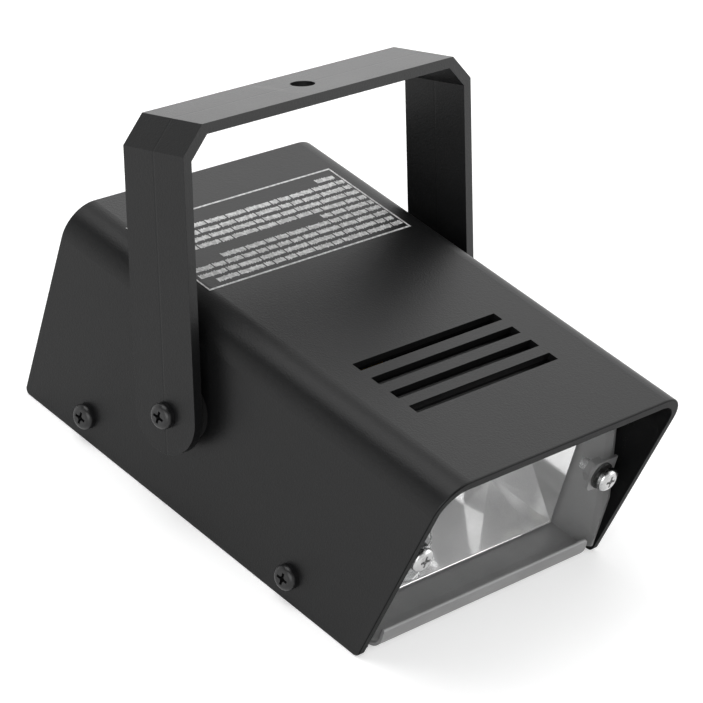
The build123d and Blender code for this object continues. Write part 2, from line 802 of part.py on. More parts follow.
with BuildPart() as rectifier_diodes:
    for place in range(diode_count):
        row_y = diode_y + (place - (diode_count - 1) / 2) * diode_pitch
        end_x = -board_width / 4 - diode_length / 2
        axis_z = board_top + diode_radius
        with BuildSketch(side_plane(1, end_x, row_y, axis_z)):
            Circle(diode_radius)
        extrude(amount=diode_length)
        with BuildSketch(side_plane(1, end_x - diode_length / 2, row_y, axis_z)):
            Circle(pin_radius)
        extrude(amount=2 * diode_length)
        with BuildSketch(Plane.XY.offset(board_top)):
            with Locations((end_x + diode_length / 2, row_y)):
                with GridLocations(1.8 * diode_length, 0, 2, 1):
                    Circle(pin_radius)
        extrude(amount=diode_radius)
save(rectifier_diodes, "rectifier_diodes")

with BuildPart() as ballast_resistor:
    resistor_x = -board_width / 2 + spacer_inset * 2.5 + resistor_size[0] / 2
    with BuildSketch(Plane.XY.offset(board_top + resistor_lift)):
        with Locations((resistor_x, resistor_y)):
            Rectangle(resistor_size[0], resistor_size[1])
    extrude(amount=resistor_size[2])
    chamfer(ballast_resistor.edges().group_by(Axis.Z)[-1], length=0.6)
    with BuildSketch(Plane.XY.offset(board_top)):
        with Locations((resistor_x, resistor_y)):
            with GridLocations(resistor_size[0] * 0.8, 0, 2, 1):
                Circle(pin_radius)
    extrude(amount=resistor_lift)
save(ballast_resistor, "ballast_resistor")

fuse_x = board_width / 4
fuse_z = board_top + fuse_lift
with BuildPart() as fuse_glass:
    with BuildSketch(side_plane(1, fuse_x - fuse_length / 2 + fuse_cap_length, resistor_y, fuse_z)):
        Circle(fuse_radius - 0.2)
        Circle(fuse_radius - 0.8, mode=Mode.SUBTRACT)
    extrude(amount=fuse_length - 2 * fuse_cap_length)
save(fuse_glass, "fuse_glass")

with BuildPart() as fuse_caps:
    for start_x in (fuse_x - fuse_length / 2, fuse_x + fuse_length / 2 - fuse_cap_length):
        with BuildSketch(side_plane(1, start_x, resistor_y, fuse_z)):
            Circle(fuse_radius)
        extrude(amount=fuse_cap_length)
save(fuse_caps, "fuse_caps")

with BuildPart() as fuse_clips:
    clip_outer = fuse_radius + 0.6
    for start_x in (fuse_x - fuse_length / 2 + 1, fuse_x + fuse_length / 2 - fuse_cap_length + 1):
        with BuildSketch(side_plane(1, start_x, resistor_y, fuse_z)):
            Circle(clip_outer)
            with Locations((0, -fuse_lift / 2)):
                Rectangle(2 * fuse_radius, fuse_lift)
            Circle(fuse_radius + fit, mode=Mode.SUBTRACT)
            with Locations((0, clip_outer)):
                Rectangle(fuse_radius, clip_outer, mode=Mode.SUBTRACT)
        extrude(amount=fuse_cap_length - 2)
save(fuse_clips, "fuse_clips")

terminal_x = board_width / 2 - terminal_inset
with BuildPart() as terminal_block:
    with BuildSketch(Plane.XY.offset(board_top)):
        with Locations((terminal_x, terminal_y)):
            Rectangle(terminal_size[0], terminal_size[1])
    extrude(amount=terminal_size[2])
    pole_pitch = terminal_size[0] / terminal_poles
    with BuildSketch(Plane.XY.offset(board_top + terminal_size[2])):
        with Locations((terminal_x, terminal_y)):
            with GridLocations(pole_pitch, 0, terminal_poles, 1):
                Circle(pole_pitch * 0.36)
    extrude(amount=-2, mode=Mode.SUBTRACT)
    with BuildSketch(rear_plane(terminal_x, terminal_y, board_top + 3)):
        with GridLocations(pole_pitch, 0, terminal_poles, 1):
            Rectangle(pole_pitch * 0.7, 3.2)
    extrude(amount=terminal_size[1], mode=Mode.SUBTRACT)
save(terminal_block, "terminal_block")

# ---------------------------------------------------------------- earth point
with BuildPart() as earth_stud:
    with BuildSketch(Plane.XY):
        with Locations(earth_place):
            Circle(screw_radius)
    extrude(amount=sheet + nut_height + 4)
save(earth_stud, "earth_stud")

with BuildPart() as earth_tag:
    with BuildSketch(Plane.XY.offset(sheet)):
        with Locations(earth_place):
            Circle(nut_flats / 2)
            with Locations((-nut_flats * 0.75, 0)):
                Rectangle(nut_flats, nut_flats / 2)
            Circle(screw_radius + fit, mode=Mode.SUBTRACT)
    extrude(amount=0.8)
save(earth_tag, "earth_tag")

with BuildPart() as earth_nut:
    with Locations((*earth_place, sheet + 0.8)):
        add(screw_nut)
save(earth_nut, "earth_nut")

# ---------------------------------------------------------------- rear panel
with BuildPart() as rear_panel:
    panel_bottom = sheet + chassis_gap
    panel_top = inner_roof - chassis_gap
    with BuildSketch(rear_plane(0, panel_inner, (panel_top + panel_bottom) / 2)) as panel_face:
        Rectangle(2 * chassis_half, panel_top - panel_bottom)
        fillet(panel_face.vertices().group_by(Axis.Y)[-1], radius=bend_radius - cover_wall)
    extrude(amount=panel_thickness)
    with BuildSketch(front_plane(0, panel_inner, 0)):
        with Locations((knob_across, knob_height)):
            Circle(bush_radius + screw_clearance)
        with Locations((gland_across, gland_height)):
            Circle(gland_thread_radius + screw_clearance)
        with Locations(
            (-panel_screw_across, panel_screw_height), (panel_screw_across, panel_screw_height)
        ):
            Circle(small_screw_radius + screw_clearance)
    extrude(amount=-panel_thickness, mode=Mode.SUBTRACT)
save(rear_panel, "rear_panel")

with BuildPart() as panel_screws:
    for side in sides:
        with Locations(rear_plane(side * panel_screw_across, panel_outer, panel_screw_height)):
            add(small_bolt)
save(panel_screws, "panel_screws")

# ---------------------------------------------------------------- speed control
pot_back = panel_inner - pot_depth
with BuildPart() as speed_pot:
    with BuildSketch(front_plane(knob_across, panel_inner, knob_height)):
        Circle(pot_radius)
    extrude(amount=pot_depth)
    fillet(speed_pot.edges().group_by(Axis.Y)[0], radius=0.8)
    with BuildSketch(front_plane(knob_across, panel_inner - pot_depth / 3, knob_height)):
        with Locations((0, -pot_radius)):
            with GridLocations(pot_radius * 0.6, 0, 3, 1):
                Rectangle(1.6, pot_radius)
    extrude(amount=0.8)
    with BuildSketch(rear_plane(knob_across, panel_inner, knob_height)):
        Circle(bush_radius)
    extrude(amount=bush_length)
    with BuildSketch(rear_plane(knob_across, pot_back + pot_depth / 2, knob_height)):
        Circle(shaft_radius + fit)
    extrude(amount=pot_depth + bush_length, mode=Mode.SUBTRACT)
save(speed_pot, "speed_pot")

pot_nut_part = hex_nut(pot_nut_flats, pot_nut_height, bush_radius)
with BuildPart() as pot_nut:
    with Locations(rear_plane(knob_across, panel_outer, knob_height)):
        add(pot_nut_part)
save(pot_nut, "pot_nut")

knob_face = panel_outer + pot_nut_height + 3 * running_gap
shaft_start = pot_back + pot_depth / 2 + running_gap
shaft_end = panel_inner + bush_length + shaft_length - pot_nut_height
with BuildPart() as pot_shaft:
    with BuildSketch(rear_plane(knob_across, shaft_start, knob_height)):
        Circle(shaft_radius)
    extrude(amount=shaft_end - shaft_start)
    flat_start = panel_inner + bush_length + 3 * running_gap
    with BuildSketch(rear_plane(knob_across, flat_start, knob_height)):
        with Locations((0, -shaft_radius)):
            Rectangle(2 * shaft_radius, 2 * shaft_flat)
    extrude(amount=shaft_end - flat_start, mode=Mode.SUBTRACT)
save(pot_shaft, "pot_shaft")

knob_end = shaft_end + knob_wall
with BuildPart() as speed_knob:
    knob_depth = knob_end - knob_face
    with BuildSketch(rear_plane(knob_across, knob_face, knob_height)):
        Circle(knob_radius)
    extrude(amount=knob_depth, taper=3)
    fillet(speed_knob.edges().group_by(Axis.Y)[-1], radius=0.9)
    with BuildSketch(rear_plane(knob_across, knob_face + knob_skirt, knob_height)):
        with PolarLocations(knob_radius, knob_ribs):
            Circle(0.45)
    extrude(amount=knob_depth, mode=Mode.SUBTRACT)
    with BuildSketch(rear_plane(knob_across, knob_face, knob_height)):
        Circle(knob_skirt_radius)
    extrude(amount=knob_skirt, taper=10)
    with BuildSketch(rear_plane(knob_across, knob_end, knob_height)):
        with Locations((0, knob_radius / 2)):
            Rectangle(0.9, knob_radius)
    extrude(amount=-0.6, mode=Mode.SUBTRACT)
    with BuildSketch(rear_plane(knob_across, knob_face, knob_height)):
        Circle(max(pot_nut_flats / 3 ** 0.5, bush_radius) + 5 * running_gap)
    extrude(amount=bush_length - panel_thickness - pot_nut_height, mode=Mode.SUBTRACT)
    with BuildSketch(rear_plane(knob_across, knob_face, knob_height)):
        Circle(shaft_radius)
        with Locations((0, -shaft_radius)):
            Rectangle(2 * shaft_radius, 2 * shaft_flat, mode=Mode.SUBTRACT)
    extrude(amount=knob_depth - knob_wall, mode=Mode.SUBTRACT)
save(speed_knob, "speed_knob")

with BuildPart() as pot_leads:
    tag_y = panel_inner - pot_depth / 3 - 0.4
    tag_z = knob_height - pot_radius * 1.5
    lead_pitch = pot_radius * 0.6
    first_land = -board_width / 2 + spacer_inset + small_head_radius + part_gap
    for place in (-1, 0, 1):
        lead_x = knob_across + place * lead_pitch
        land_x = first_land + (place + 1) * lead_pitch
        land_y = board_end - 2 - abs(place)
        lead_points = (
            (lead_x, tag_y, tag_z),
            (lead_x, tag_y, tag_z - 4),
            (land_x, land_y, tag_z - 10),
            (land_x, land_y, board_top),
        )
        add(sweep_round(lead_points, 1.8, wire_radius))
save(pot_leads, "pot_leads")

# ---------------------------------------------------------------- cable gland
with BuildPart() as gland_body:
    with BuildSketch(rear_plane(gland_across, panel_outer, gland_height)):
        RegularPolygon(radius=gland_flats / 3 ** 0.5, side_count=6)
    extrude(amount=gland_flange)
    with BuildSketch(rear_plane(gland_across, panel_outer + gland_flange, gland_height)):
        Circle(gland_thread_radius)
    extrude(amount=gland_cap * 0.6)
    with BuildSketch(front_plane(gland_across, panel_outer, gland_height)):
        Circle(gland_thread_radius)
    extrude(amount=gland_inner_length)
    with BuildSketch(front_plane(gland_across, rear_y + gland_flange + gland_cap, gland_height)):
        Circle(gland_thread_radius - gland_wall)
    extrude(amount=gland_inner_length + gland_flange + gland_cap + 2 * panel_inset, mode=Mode.SUBTRACT)
save(gland_body, "gland_body")

gland_end = panel_outer + gland_flange + gland_cap
with BuildPart() as gland_cap_nut:
    with BuildSketch(rear_plane(gland_across, panel_outer + gland_flange, gland_height)):
        RegularPolygon(radius=gland_flats / 3 ** 0.5, side_count=6)
    extrude(amount=gland_cap - gland_cap_nose)
    with BuildSketch(rear_plane(gland_across, gland_end - gland_cap_nose, gland_height)):
        Circle(gland_flats / 2)
    extrude(amount=gland_cap_nose, taper=30)
    with BuildSketch(rear_plane(gland_across, panel_outer + gland_flange, gland_height)):
        Circle(gland_thread_radius)
    extrude(amount=gland_cap * 0.6, mode=Mode.SUBTRACT)
    with BuildSketch(rear_plane(gland_across, panel_outer, gland_height)):
        Circle(gland_thread_radius - gland_wall)
    extrude(amount=2 * gland_cap + gland_flange, mode=Mode.SUBTRACT)
save(gland_cap_nut, "gland_cap_nut")

seal_length = gland_flange + gland_cap - 1
with BuildPart() as gland_seal:
    with BuildSketch(rear_plane(gland_across, panel_outer, gland_height)):
        Circle(gland_thread_radius - gland_wall)
        Circle(gland_bore, mode=Mode.SUBTRACT)
    extrude(amount=seal_length)
save(gland_seal, "gland_seal")

gland_nut_part = hex_nut(gland_flats, gland_nut_height, gland_thread_radius)
with BuildPart() as gland_lock_nut:
    with Locations(front_plane(gland_across, panel_inner, gland_height)):
        add(gland_nut_part)
save(gland_lock_nut, "gland_lock_nut")
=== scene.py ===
"""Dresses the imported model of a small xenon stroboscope: finishes, printed scale, marks and studio."""

import math

import bmesh
import bpy
import numpy as np
from bpy.props import FloatProperty, FloatVectorProperty, IntProperty, PointerProperty
from mathutils import Matrix, Vector


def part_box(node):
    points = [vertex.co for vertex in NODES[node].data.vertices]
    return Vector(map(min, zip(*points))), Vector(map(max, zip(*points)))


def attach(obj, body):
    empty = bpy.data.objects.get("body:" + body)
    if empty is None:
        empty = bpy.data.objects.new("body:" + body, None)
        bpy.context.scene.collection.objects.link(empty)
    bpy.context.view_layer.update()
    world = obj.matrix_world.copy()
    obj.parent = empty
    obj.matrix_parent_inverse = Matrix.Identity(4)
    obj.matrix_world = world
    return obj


bl_info = {
    "name": "Stroboscope Dresser",
    "version": (1, 0, 0),
    "blender": (4, 5, 0),
    "location": "View3D > Sidebar > Strobe",
    "description": "Gives the packed stroboscope its finishes, printed marks and studio",
    "category": "Object",
}

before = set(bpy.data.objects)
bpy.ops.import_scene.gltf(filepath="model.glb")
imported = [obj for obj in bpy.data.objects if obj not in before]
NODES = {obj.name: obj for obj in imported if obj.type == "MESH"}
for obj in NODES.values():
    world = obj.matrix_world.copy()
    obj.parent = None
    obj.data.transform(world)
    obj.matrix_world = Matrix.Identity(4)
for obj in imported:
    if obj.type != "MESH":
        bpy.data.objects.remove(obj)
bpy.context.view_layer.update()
HOUSING = "housing"
KNOB = "knob"


# ---------------------------------------------------------------- node expressions
def _operator(operation, reflected=False):
    """A method that adds one Math node, with its operands swapped for a reflected form."""

    def apply(self, other):
        pair = (other, self) if reflected else (self, other)
        return self.finish.maths(operation, *pair)

    return apply


class Signal:
    """One socket of a finish's tree. Arithmetic on it adds Math nodes."""

    def __init__(self, finish, socket):
        self.finish = finish
        self.socket = socket

    __add__ = _operator("ADD")
    __radd__ = _operator("ADD", True)
    __sub__ = _operator("SUBTRACT")
    __rsub__ = _operator("SUBTRACT", True)
    __mul__ = _operator("MULTIPLY")
    __rmul__ = _operator("MULTIPLY", True)
    __pow__ = _operator("POWER")
    __lt__ = _operator("LESS_THAN")
    __gt__ = _operator("GREATER_THAN")

    def __abs__(self):
        return self.finish.maths("ABSOLUTE", self)

    def sine(self):
        return self.finish.maths("SINE", self)

    def smallest(self, other):
        return self.finish.maths("MINIMUM", self, other)

    def largest(self, other):
        return self.finish.maths("MAXIMUM", self, other)

    def step(self, low, high):
        """0 below low, 1 above high, and a smooth rise between."""
        settings = {"interpolation_type": "SMOOTHSTEP"}
        inputs = {"Value": self, "From Min": low, "From Max": high}
        return self.finish.add("ShaderNodeMapRange", settings, inputs)


class Finish:
    """One material with the tree of its nodes."""

    def __init__(self, name):
        self.material = bpy.data.materials.new(name)
        self.material.use_nodes = True
        self.tree = self.material.node_tree
        self.tree.nodes.clear()
        self.place = self.add("ShaderNodeTexCoord", output="Object")

    def join(self, value, socket):
        """Puts a number, a colour or another socket into this socket."""
        if isinstance(value, Signal):
            self.tree.links.new(value.socket, socket)
        elif hasattr(value, "__len__") and len(value) == 3 and socket.type == "RGBA":
            socket.default_value = (*value, 1.0)
        else:
            socket.default_value = value

    def add(self, kind, settings=None, inputs=None, output=0):
        """Any node: its type, its settings, then what goes into its sockets."""
        node = self.tree.nodes.new(kind)
        for key, value in (settings or {}).items():
            setattr(node, key, value)
        for key, value in (inputs or {}).items():
            self.join(value, node.inputs[key])
        return Signal(self, node.outputs[output])

    def maths(self, operation, *values):
        """A Math node on these numbers or sockets."""
        return self.add("ShaderNodeMath", {"operation": operation}, dict(enumerate(values)))

    def mix(self, factor, low, high):
        """The colour low where the factor is 0 and high where it is 1."""
        settings = {"data_type": "RGBA"}
        return self.add("ShaderNodeMix", settings, {0: factor, 6: low, 7: high}, 2)

    def axes(self):
        """The place's x, y and z in metres."""
        split = self.add("ShaderNodeSeparateXYZ", None, {0: self.place})
        outputs = split.socket.node.outputs
        return [Signal(self, socket) for socket in outputs]

    def stretched(self, scale):
        """The place with each axis scaled, for a pattern that runs along one of them."""
        inputs = {"Vector": self.place, "Scale": scale}
        return self.add("ShaderNodeMapping", {"vector_type": "POINT"}, inputs)

    def noise(self, scale, detail, roughness, vector=None):
        """Cloudy noise from 0 to 1, with this many lumps in a metre."""
        inputs = {
            "Vector": vector or self.place,
            "Scale": scale,
            "Detail": detail,
            "Roughness": roughness,
        }
        return self.add("ShaderNodeTexNoise", None, inputs)

    def cells(self, scale):
        """How far the nearest of many scattered points is, with this many cells in a metre."""
        inputs = {"Vector": self.place, "Scale": scale}
        return self.add("ShaderNodeTexVoronoi", {"feature": "F1"}, inputs)

    def bump(self, height, distance, strength):
        """A normal that makes a height from 0 to 1 look this many metres deep."""
        inputs = {"Height": height, "Distance": distance, "Strength": strength}
        return self.add("ShaderNodeBump", None, inputs)

    def shader(self, **inputs):
        """A Principled shader. Underscores stand for spaces in socket names."""
        named = {key.replace("_", " "): value for key, value in inputs.items()}
        return self.add("ShaderNodeBsdfPrincipled", None, named)

    def end(self, shader):
        """Ends the tree with this shader."""
        self.join(shader, self.tree.nodes.new("ShaderNodeOutputMaterial").inputs["Surface"])
        return self.material

    def surface(self, **inputs):
        """Ends the tree with a Principled shader."""
        return self.end(self.shader(**inputs))


def wear(material, *names):
    """Puts a finish on these CAD nodes."""
    for name in names:
        mesh = NODES[name].data
        mesh.materials.clear()
        mesh.materials.append(material)


def ease_edges(name, width):
    """Rounds a CAD node's crisp edges with modifiers; its own mesh stays as it is."""
    flat_within, crisp_over = math.radians(0.4), math.radians(32.0)
    node = NODES[name]
    weld = node.modifiers.new("join", "WELD")
    weld.merge_threshold = 1e-6
    flat = node.modifiers.new("flatten", "DECIMATE")
    flat.decimate_type = "DISSOLVE"
    flat.angle_limit = flat_within
    bevel = node.modifiers.new("ease", "BEVEL")
    bevel.width = width
    bevel.segments = 3
    bevel.limit_method = "ANGLE"
    bevel.angle_limit = crisp_over
    bevel.use_clamp_overlap = True
    bevel.harden_normals = False
    even = node.modifiers.new("even", "WEIGHTED_NORMAL")
    even.keep_sharp = True
    even.weight = 100


# ---------------------------------------------------------------- meshes
def show(name, mesh, material):
    """An object of this mesh in this finish, linked to the scene."""
    mesh.materials.append(material)
    piece = bpy.data.objects.new(name, mesh)
    bpy.context.scene.collection.objects.link(piece)
    return piece


def make_piece(name, vertices, faces, material, body):
    """Makes a mesh object of these points and faces that rides on a body."""
    mesh = bpy.data.meshes.new(name)
    mesh.from_pydata(vertices.tolist(), [], faces.tolist())
    mesh.validate()
    piece = show(name, mesh, material)
    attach(piece, body)


def flat_sheet(name, corners, material):
    """A flat sheet of one face through four corners."""
    mesh = bpy.data.meshes.new(name)
    mesh.from_pydata(corners, [], [(0, 1, 2, 3)])
    return show(name, mesh, material)


def slabs(corners, thickness, up):
    """Many flat slabs as one mesh.

    Each row of corners holds four points in order round a face that looks along up. The slab's
    far face is those points moved along up by the thickness, so a slab is the face carried along
    a straight line.
    """
    count = len(corners)
    top = corners + np.asarray(up) * thickness
    points = np.concatenate([corners, top], axis=1).reshape(-1, 3)
    block = np.array(
        [[3, 2, 1, 0], [4, 5, 6, 7], [0, 1, 5, 4], [1, 2, 6, 5], [2, 3, 7, 6], [3, 0, 4, 7]]
    )
    faces = (np.arange(count)[:, None, None] * 8 + block[None]).reshape(-1, 4)
    return points, faces


# ---------------------------------------------------------------- finishes
def shaded(tone, factor):
    """This colour, darker or lighter by a factor."""
    return tuple(value * factor for value in tone)


def moulded_black(name, tone, grain, roughness, seam=None, shade_mask=None):
    """Black moulded plastic with a fine spark-eroded grain; where a mask is given, its places take a
    darker, less glossy copy: painted shade.
    """
    finish = Finish(name)
    fine = finish.noise(grain, 3.0, 0.6)
    pits = finish.cells(grain * 0.55)
    broad = finish.noise(14.0, 3.0, 0.55)
    rubbed = finish.noise(60.0, 4.0, 0.6, finish.stretched((1.0, 0.35, 0.6)))
    dark = shaded(tone, 0.82)
    shade = (fine * 0.6 + broad * 0.4).step(0.35, 0.65)
    colour = finish.mix(shade, dark, shaded(tone, 1.35))
    height = fine * 0.7 + pits * 0.5
    rough = roughness + (broad - 0.5) * 0.1 - rubbed.step(0.6, 0.75) * 0.04
    if seam is not None:
        line = seam(finish)
        height = height - line * 0.6
        colour = finish.mix(line * 0.5, colour, shaded(tone, 0.45))
    normal = finish.bump(height, 0.00007, 0.7)
    outer = finish.shader(
        Base_Color=colour, Roughness=rough, Normal=normal, Specular_IOR_Level=0.25
    )
    if shade_mask is None:
        return finish.end(outer)
    # Painted shade: the masked places take a darker, less glossy copy of the plastic.
    inner = finish.shader(
        Base_Color=dark, Roughness=rough + 0.1, Normal=normal, Specular_IOR_Level=0.07
    )
    return finish.end(finish.add("ShaderNodeMixShader", None, {0: shade_mask(finish), 1: outer, 2: inner}))


def cover_dull(finish):
    """Where the cover takes painted shade: its inner faces and the cut face round the hood's mouth.

    A place is inside when it is nearer to the axes of the two bends than the outer skin is. The
    mouth's cut leans forwards as it rises, so its y is that of its foot less a share of its z.
    """
    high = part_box("cover")[1]
    bend, skin = 0.0105, 0.0082
    mouth_foot, mouth_lean = -0.07255, 0.1791
    x, y, z = finish.axes()
    side = (abs(x) - (high[0] - bend)).largest(0.0)
    up = (z - (high[2] - bend)).largest(0.0)
    inside = side * side + up * up < skin * skin
    mouth = y + z * mouth_lean < mouth_foot
    return inside.largest(mouth)


def bracket_seam(finish):
    """The faint line the mould leaves along the middle of the strap's outer faces."""
    low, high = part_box("pivot_screws")
    pivot_y, pivot_z = (low[1] + high[1]) / 2, (low[2] + high[2]) / 2
    lean = math.radians(21.2)
    full_within, gone_beyond = 0.00012, 0.00045
    _, y, z = finish.axes()
    across = abs((y - pivot_y) * math.cos(lean) - (z - pivot_z) * math.sin(lean))
    return 1.0 - across.step(full_within, gone_beyond)


def powder_black(name, tone):
    """Black powder coat on steel: a soft orange peel with a little sparkle."""
    finish = Finish(name)
    peel = finish.noise(900.0, 2.0, 0.5)
    speck = finish.cells(1500.0).step(0.0, 0.35)
    broad = finish.noise(20.0, 3.0, 0.5)
    colour = finish.mix(broad * 0.5 + peel * 0.5, shaded(tone, 0.8), shaded(tone, 1.5))
    normal = finish.bump(peel + speck * 0.3, 0.00008, 0.5)
    return finish.surface(
        Base_Color=colour, Roughness=0.38 + broad * 0.14, Normal=normal, Specular_IOR_Level=0.4
    )


def rolled_metal(name, tone, roughness, grain=(1.0, 30.0, 30.0), metallic=1.0):
    """Bare plated sheet: rolling lines along one axis, cloudy patches and small scratches."""
    finish = Finish(name)
    lines = finish.noise(160.0, 4.0, 0.65, finish.stretched(grain))
    cloud = finish.noise(45.0, 4.0, 0.6)
    scratch = finish.noise(90.0, 2.0, 0.4, finish.stretched((3.0, 60.0, 14.0)))
    mark = scratch.step(0.66, 0.72)
    colour = finish.mix(cloud.step(0.3, 0.7) * 0.7 + lines * 0.3, shaded(tone, 0.75), tone)
    rough = roughness + (lines - 0.5) * 0.18 + (cloud - 0.5) * 0.14 - mark * 0.06
    normal = finish.bump(lines + mark * 0.4, 0.00002, 0.5)
    return finish.surface(Base_Color=colour, Roughness=rough, Metallic=metallic, Normal=normal)


def mirror_metal(name, tone, roughness, shade_above, shade_behind):
    """Bright reflector sheet, brushed and hazy; its outer faces are painted near black as shade, for the
    darkness seen through the vent slots.
    """
    finish = Finish(name)
    _, y, z = finish.axes()
    shaded_outside = (z > shade_above).largest(y > shade_behind)
    wave = finish.noise(22.0, 2.0, 0.45)
    haze = finish.noise(240.0, 4.0, 0.6)
    bright = finish.mix(haze.step(0.3, 0.8), tone, shaded(tone, 0.93))
    # Painted shade: the outer faces turn near black, dull and without metal.
    colour = finish.mix(shaded_outside, bright, (0.01, 0.01, 0.01))
    normal = finish.bump(wave, 0.0007, 0.15)
    rough = (roughness + haze * 0.05).largest(shaded_outside * 0.5)
    return finish.surface(
        Base_Color=colour, Roughness=rough, Metallic=(1.0 - shaded_outside) * 0.76, Normal=normal
    )


def turned_metal(name, tone, roughness):
    """Screws and pins: plated metal with fine turning marks and grime in patches."""
    finish = Finish(name)
    marks = finish.noise(1400.0, 3.0, 0.6)
    grime = finish.noise(380.0, 4.0, 0.6).step(0.5, 0.75)
    colour = finish.mix(grime * 0.3, tone, shaded(tone, 0.35))
    rough = roughness + (marks - 0.5) * 0.12 + grime * 0.15
    normal = finish.bump(marks, 0.00002, 0.4)
    return finish.surface(Base_Color=colour, Roughness=rough, Metallic=1.0, Normal=normal)


def blackened_metal(name, tone, roughness):
    """Black zinc on a screw: dark, half bright, with worn lighter specks."""
    finish = Finish(name)
    marks = finish.noise(1100.0, 3.0, 0.6)
    worn = finish.noise(520.0, 3.0, 0.6).step(0.63, 0.78)
    colour = finish.mix(worn * 0.5, tone, shaded(tone, 4.0))
    rough = roughness + (marks - 0.5) * 0.15
    normal = finish.bump(marks, 0.00003, 0.5)
    return finish.surface(
        Base_Color=colour, Roughness=rough, Metallic=worn * 0.4 + 0.15, Normal=normal
    )


def soft_rubber(name, tone, roughness=0.75):
    """Rubber: matt, with a dusty bloom in patches."""
    finish = Finish(name)
    bloom = finish.noise(160.0, 4.0, 0.6)
    fine = finish.noise(1800.0, 2.0, 0.5)
    dusty = tuple(value * 1.8 + 0.004 for value in tone)
    colour = finish.mix(bloom.step(0.35, 0.8), tone, dusty)
    normal = finish.bump(fine, 0.00004, 0.5)
    return finish.surface(
        Base_Color=colour,
        Roughness=roughness + (bloom - 0.5) * 0.12,
        Normal=normal,
        Specular_IOR_Level=0.3,
    )


def glossy_shell(name, tone):
    """Dipped or moulded component bodies: glossy, slightly uneven."""
    finish = Finish(name)
    wave = finish.noise(220.0, 3.0, 0.5)
    fine = finish.noise(1200.0, 3.0, 0.5)
    colour = finish.mix(wave.step(0.3, 0.7), tone, shaded(tone, 0.8))
    normal = finish.bump(wave + fine * 0.2, 0.00008, 0.4)
    return finish.surface(Base_Color=colour, Roughness=0.3 + fine * 0.08, Normal=normal)


def fired_cement(name, tone):
    """The pale, slightly gritty cement of a power resistor."""
    finish = Finish(name)
    grit = finish.cells(900.0)
    patch = finish.noise(260.0, 4.0, 0.6)
    colour = finish.mix(patch.step(0.35, 0.7), tone, shaded(tone, 0.82))
    normal = finish.bump(grit + patch, 0.00008, 0.6)
    return finish.surface(Base_Color=colour, Roughness=0.8 + patch * 0.1, Normal=normal)


def board_green(name, tone):
    """Lacquered laminate: copper runs show as raised lines under the green."""
    finish = Finish(name)
    _, y, _ = finish.axes()
    wander = finish.noise(70.0, 1.0, 0.4)
    runs = (y * 900.0 + wander * 9.0).sine().step(0.55, 0.75)
    weave = finish.noise(1500.0, 2.0, 0.5)
    colour = finish.mix(runs * 0.6, tone, shaded(tone, 1.9))
    normal = finish.bump(runs + weave * 0.15, 0.00005, 0.6)
    return finish.surface(Base_Color=colour, Roughness=0.28 + weave * 0.12, Normal=normal)


def clear_sheet(name):
    """Thin clear sheet with an anti-glare coat: a faint mirror, stronger towards grazing."""
    finish = Finish(name)
    facing = finish.add("ShaderNodeLayerWeight", None, {"Blend": 0.5}, "Facing")
    smear = finish.noise(60.0, 4.0, 0.6).step(0.45, 0.8)
    dust = finish.noise(900.0, 3.0, 0.6).step(0.66, 0.8)
    wave = finish.noise(18.0, 2.0, 0.4)
    alpha = (facing ** 5.0 * 0.2 + smear * 0.003 + dust * 0.008 + 0.004).smallest(1.0)
    normal = finish.bump(wave, 0.0004, 0.15)
    return finish.surface(
        Base_Color=finish.mix(dust, (0.96, 0.97, 0.97), (0.8, 0.8, 0.8)),
        Metallic=1.0,
        Roughness=0.03 + smear * 0.08,
        Alpha=alpha,
        Normal=normal,
    )


def blown_glass(name, tint=(0.97, 0.985, 0.985)):
    """Quartz or glass tube: clear, with very faint streaks drawn along it."""
    finish = Finish(name)
    streak = finish.noise(140.0, 3.0, 0.5, finish.stretched((6.0, 0.5, 6.0)))
    normal = finish.bump(streak, 0.00005, 0.25)
    return finish.surface(
        Base_Color=tint,
        Roughness=0.015 + streak * 0.02,
        Normal=normal,
        Transmission_Weight=1.0,
        IOR=1.46,
    )


def screen_ink(name, tone):
    """Screen-printed ink: flat, slightly patchy where the paint is thin."""
    finish = Finish(name)
    patch = finish.noise(700.0, 4.0, 0.65)
    covered = patch.step(0.42, 0.6)
    colour = finish.mix(covered, shaded(tone, 0.62), tone)
    normal = finish.bump(patch, 0.00001, 0.4)
    return finish.surface(Base_Color=colour, Roughness=0.6, Normal=normal)


# ---------------------------------------------------------------- settings
class StrobeLooks(bpy.types.PropertyGroup):
    """Colours and roughness a user would change."""

    cover_tone: FloatVectorProperty(
        name="Cover Colour",
        description="Colour of the moulded cover, bracket and knob",
        subtype="COLOR",
        size=3,
        min=0.0,
        max=1.0,
        default=(0.0042, 0.0043, 0.0045),
    )
    cover_roughness: FloatProperty(
        name="Cover Roughness",
        description="How satin the moulded surfaces are",
        subtype="FACTOR",
        min=0.0,
        max=1.0,
        default=0.37,
    )
    cover_grain: FloatProperty(
        name="Cover Grain",
        description="Number of grain cells in a metre of the moulded surface",
        min=100.0,
        max=8000.0,
        default=2600.0,
    )
    cover_edge: FloatProperty(
        name="Cover Edge",
        description="Rounding of the cover's crisp edges and of its vent slots",
        unit="LENGTH",
        min=0.00001,
        max=0.001,
        default=0.0002,
    )
    bracket_edge: FloatProperty(
        name="Bracket Edge",
        description="Rounding of the bracket's long edges",
        unit="LENGTH",
        min=0.00001,
        max=0.0015,
        default=0.0005,
    )
    sheet_tone: FloatVectorProperty(
        name="Sheet Metal Colour",
        description="Colour of the bare plated chassis",
        subtype="COLOR",
        size=3,
        min=0.0,
        max=1.0,
        default=(0.285, 0.285, 0.285),
    )
    mirror_tone: FloatVectorProperty(
        name="Mirror Colour",
        description="Colour of the polished reflector",
        subtype="COLOR",
        size=3,
        min=0.0,
        max=1.0,
        default=(0.98, 0.98, 0.98),
    )
    ink_tone: FloatVectorProperty(
        name="Print Colour",
        description="Colour of the printed marks",
        subtype="COLOR",
        size=3,
        min=0.0,
        max=1.0,
        default=(0.74, 0.74, 0.74),
    )


